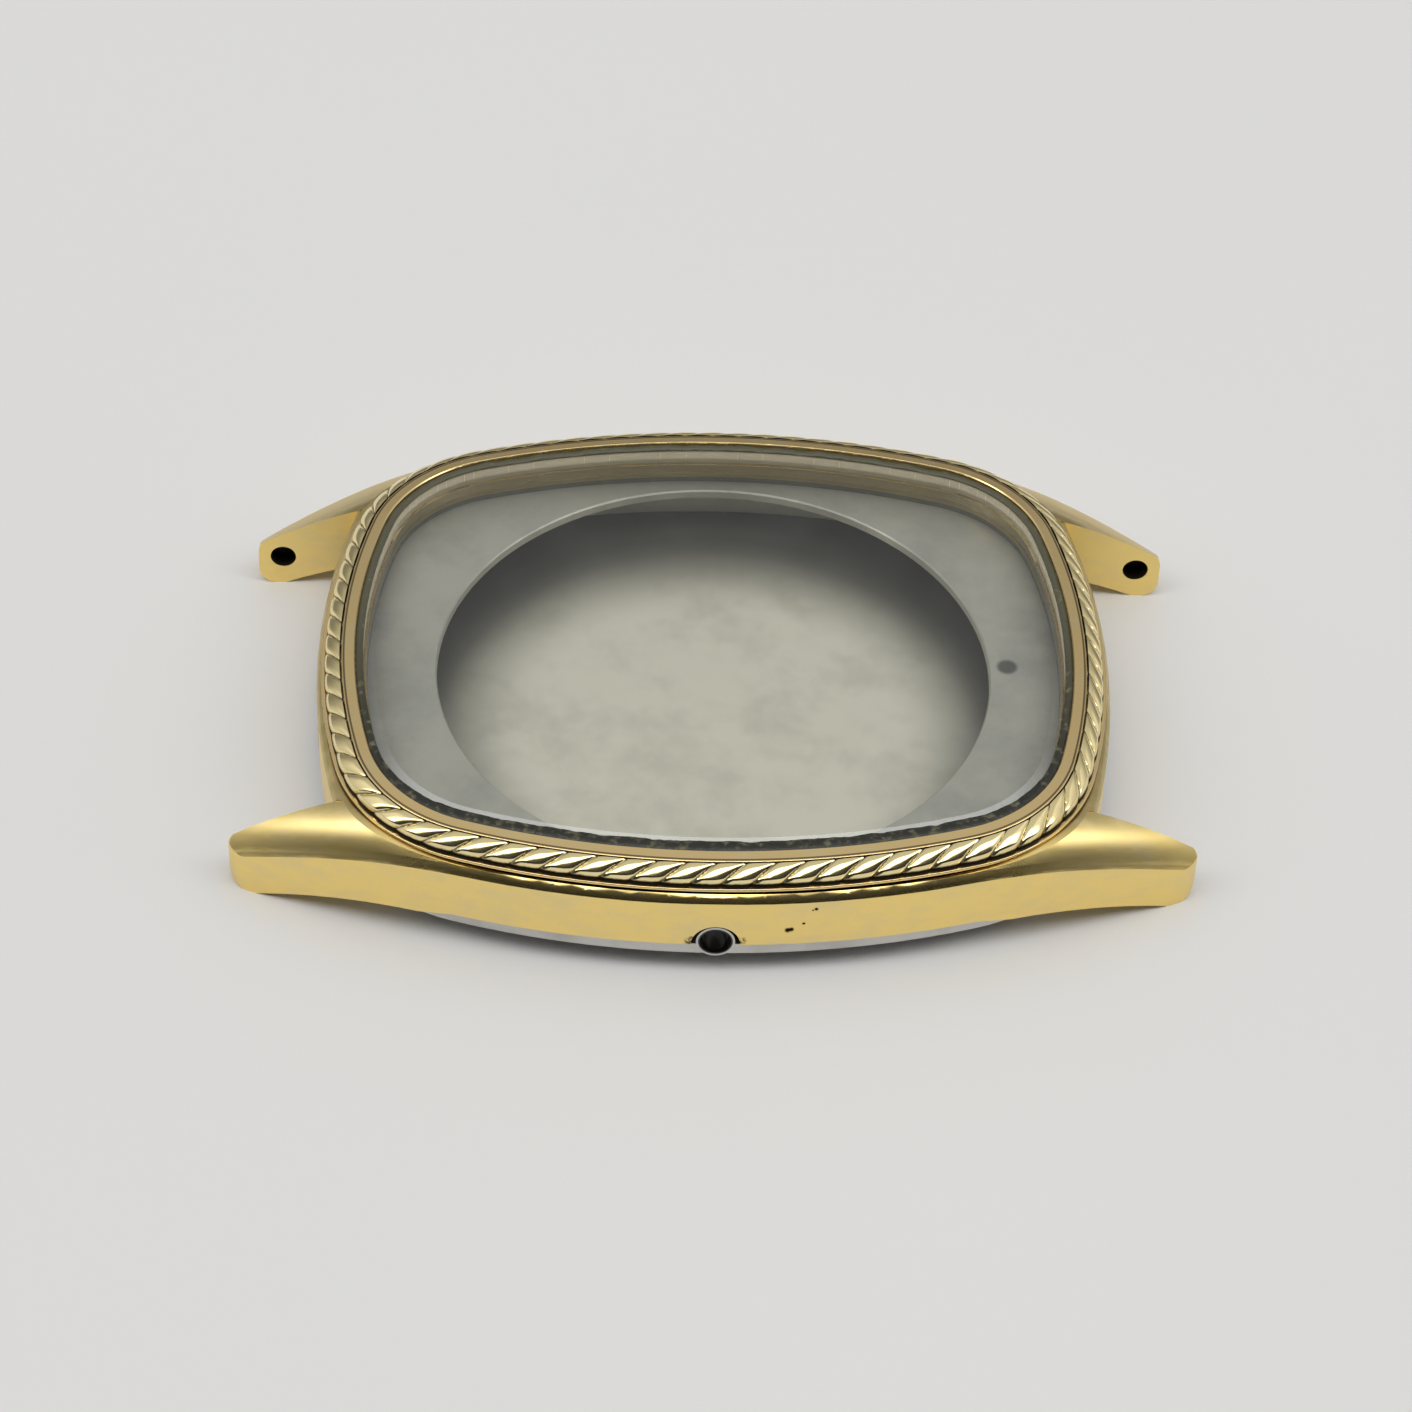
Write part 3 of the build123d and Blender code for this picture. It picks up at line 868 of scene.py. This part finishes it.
def make_rope():
    """The whole ring of strands, closed under the strands by a flat floor."""
    count = strand_count * strand_samples
    rows = strand_turns + 1
    places = stations(count)
    points, depths = [], []
    for number, station in enumerate(places):
        for turn in range(rows):
            distance, height, depth = rope_shape(number / strand_samples, turn / strand_turns)
            points.append(ring_point(station, distance, height))
            depths.append(depth)
        points.append(ring_point(station, rope_inner, rope_low))
        depths.append(0.0)
    columns = rows + 1
    normals = []
    for number in range(count):
        before, beyond = (number - 1) % count, (number + 1) % count
        for turn in range(rows):
            up, down = max(turn - 1, 0), min(turn + 1, rows - 1)
            forward = points[beyond * columns + turn] - points[before * columns + turn]
            outward = points[number * columns + down] - points[number * columns + up]
            normals.append(outward.cross(forward).normalized())
        normals.append(Vector((0, 0, -1)))
    rope = mesh_piece("rope_strands", points, grid_faces(count, columns, -1), normals, rope_gold_plate)
    depth_layer = rope.data.attributes.new(depth_name, "FLOAT", "POINT")
    depth_layer.data.foreach_set("value", depths)
    return rope


rope = make_rope()
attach(rope, "bezel_assembly")
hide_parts("rope_ring")
print("rope faces", len(rope.data.polygons))

# %% [markdown]
# ## The crystal's seal
# The seal round the glass is soft and old, so it isn't a clean ring: it bulges and sinks between the
# glass and the gold. Its section is a low dome whose height wanders a little along the ring, and its
# lip laps further over the glass's bevel on the crown side.

# %% The crystal's seal
seal_inner = -0.30
seal_lip = -0.33
seal_lip_crown = -0.29
seal_low = 4.40
seal_lip_low = 5.07
seal_lip_thickness = 0.05
seal_high = 5.23
seal_wander = 0.05
seal_dome = 0.06
seal_dome_span = (0.06, 0.94)
seal_lean_up = 1.2
lump_pitch = 1.1
seal_stations = 700
seal_steps = 8


def seal_section(station):
    """(distance, height) corners of the seal at one station: lip, hidden foot and domed top."""
    lump = noise.fractal(ring_point(station, 0, 0) / MM * lump_pitch, 0.6, 2.0, 4)
    top = seal_high - seal_wander + seal_wander * max(min(lump, 1.0), -1.0)
    lip = seal_lip + seal_lip_crown * max(math.cos(station[3]), 0.0) ** 2
    section = [
        (lip, seal_lip_low),
        (seal_inner, seal_lip_low - seal_lip_thickness),
        (seal_inner, seal_low),
        (0.0, seal_low),
    ]
    first, last = seal_dome_span
    for step in range(seal_steps + 1):
        share = step / seal_steps
        rise = math.sqrt(math.sin(math.pi * (first + (last - first) * share)))
        section.append((lip * share, top - seal_dome + seal_dome * rise))
    return section


def make_crystal_seal():
    """A soft ring between the glass and the bezel, with an uneven top."""
    points, normals = [], []
    for station in stations(seal_stations):
        section = seal_section(station)
        points += [ring_point(station, distance, height) for distance, height in section]
        outward = Vector((math.cos(station[3]), math.sin(station[3]), 0))
        normals += [-outward, -outward, -outward, Vector((0, 0, -1))]
        for step in range(seal_steps + 1):
            lean = 1 - 2 * step / seal_steps
            normals.append((lean * outward + Vector((0, 0, seal_lean_up))).normalized())
    faces = grid_faces(seal_stations, len(section))
    return mesh_piece("crystal_seal", points, faces, normals, seal_finish)


crystal_seal = make_crystal_seal()
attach(crystal_seal, "bezel_assembly")
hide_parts("crystal_gasket")
print("seal faces", len(crystal_seal.data.polygons))

# %% [markdown]
# ## Floor and light
# The case lies on plain white paper and the sky alone lights it, so that every shadow is soft. Lamps
# would put hard points into the polished gold. The sky is painted in the world from each direction's
# own coordinates: a dim wall all round that grows paler upwards, a long bright strip high on the
# crown side, a weak light to the left and right, and a dark card low on the crown side. Polished gold
# is only as rich as what it mirrors: the card draws the dark line along the bead and the dark outer
# half of the lug tops, and the strip draws the bright band beside it.

# %% Floor and light
paper_colour = (0.78, 0.778, 0.772, 1)
paper_shade = (0.72, 0.72, 0.715, 1)
shade_share = 0.35
paper_roughness = 0.8
fibre_depth = 0.02
floor_half = 1.5
light_colour = (1.0, 0.995, 0.985, 1)
wall_low = 0.21
wall_high = 0.59
wall_rise = (0.1, 0.95)
strip_light = 2.40
strip_near = (0.02, 0.14)
strip_ends = (0.75, 0.95)
strip_foot = (0.0, 0.3)
side_light = 0.36
side_from = (0.42, 0.62)
side_not_behind = (-0.75, -0.35)
card_darkness = 0.88
card_edge = (0.50, 0.62)
card_widening = 0.35
card_crown_side = (0.25, 0.4)


def make_floor():
    """A wide sheet of white paper under the case."""
    corners = [(x * floor_half, y * floor_half, 0) for x, y in ((-1, -1), (1, -1), (1, 1), (-1, 1))]
    mesh = bpy.data.meshes.new("paper_floor")
    mesh.from_pydata(corners, [], [(0, 1, 2, 3)])
    make = new_recipe("white_paper")
    fibres = make.bump(make.clouds(1.2, 5.0), fibre_depth)
    colour = make.blend(make.clouds(60.0, 2.0) * shade_share, paper_colour, paper_shade)
    paper = make.surface({"Base Color": colour, "Roughness": paper_roughness, "Normal": fibres})
    mesh.materials.append(paper)
    floor = bpy.data.objects.new("paper_floor", mesh)
    bpy.context.scene.collection.objects.link(floor)


def paint_world():
    """A long soft light overhead, a dim wall, weak sides and a dark card on the crown side."""
    world = bpy.data.worlds.new("studio")
    bpy.context.scene.world = world
    make = Recipe(world)
    x, y, z = make.axes(make.node("ShaderNodeTexCoord")["Generated"])
    aside = y.size()
    card = (x + aside * card_widening).between(*card_edge) * x.between(*card_crown_side)
    strip = x.between(*strip_near) * (1 - card) * (1 - aside.between(*strip_ends)) * z.between(*strip_foot)
    sides = aside.between(*side_from) * (1 - card) * x.between(*side_not_behind)
    wall = wall_low + (wall_high - wall_low) * z.between(*wall_rise) + sides * side_light
    strength = wall * (1 - card * card_darkness) + strip * strip_light
    light = make.node("ShaderNodeBackground", None, {"Color": light_colour, "Strength": strength})
    make.node("ShaderNodeOutputWorld", None, {"Surface": light["Background"]})


make_floor()
paint_world()
bpy.context.scene.view_settings.view_transform = "Standard"
print("floor and sky ready")
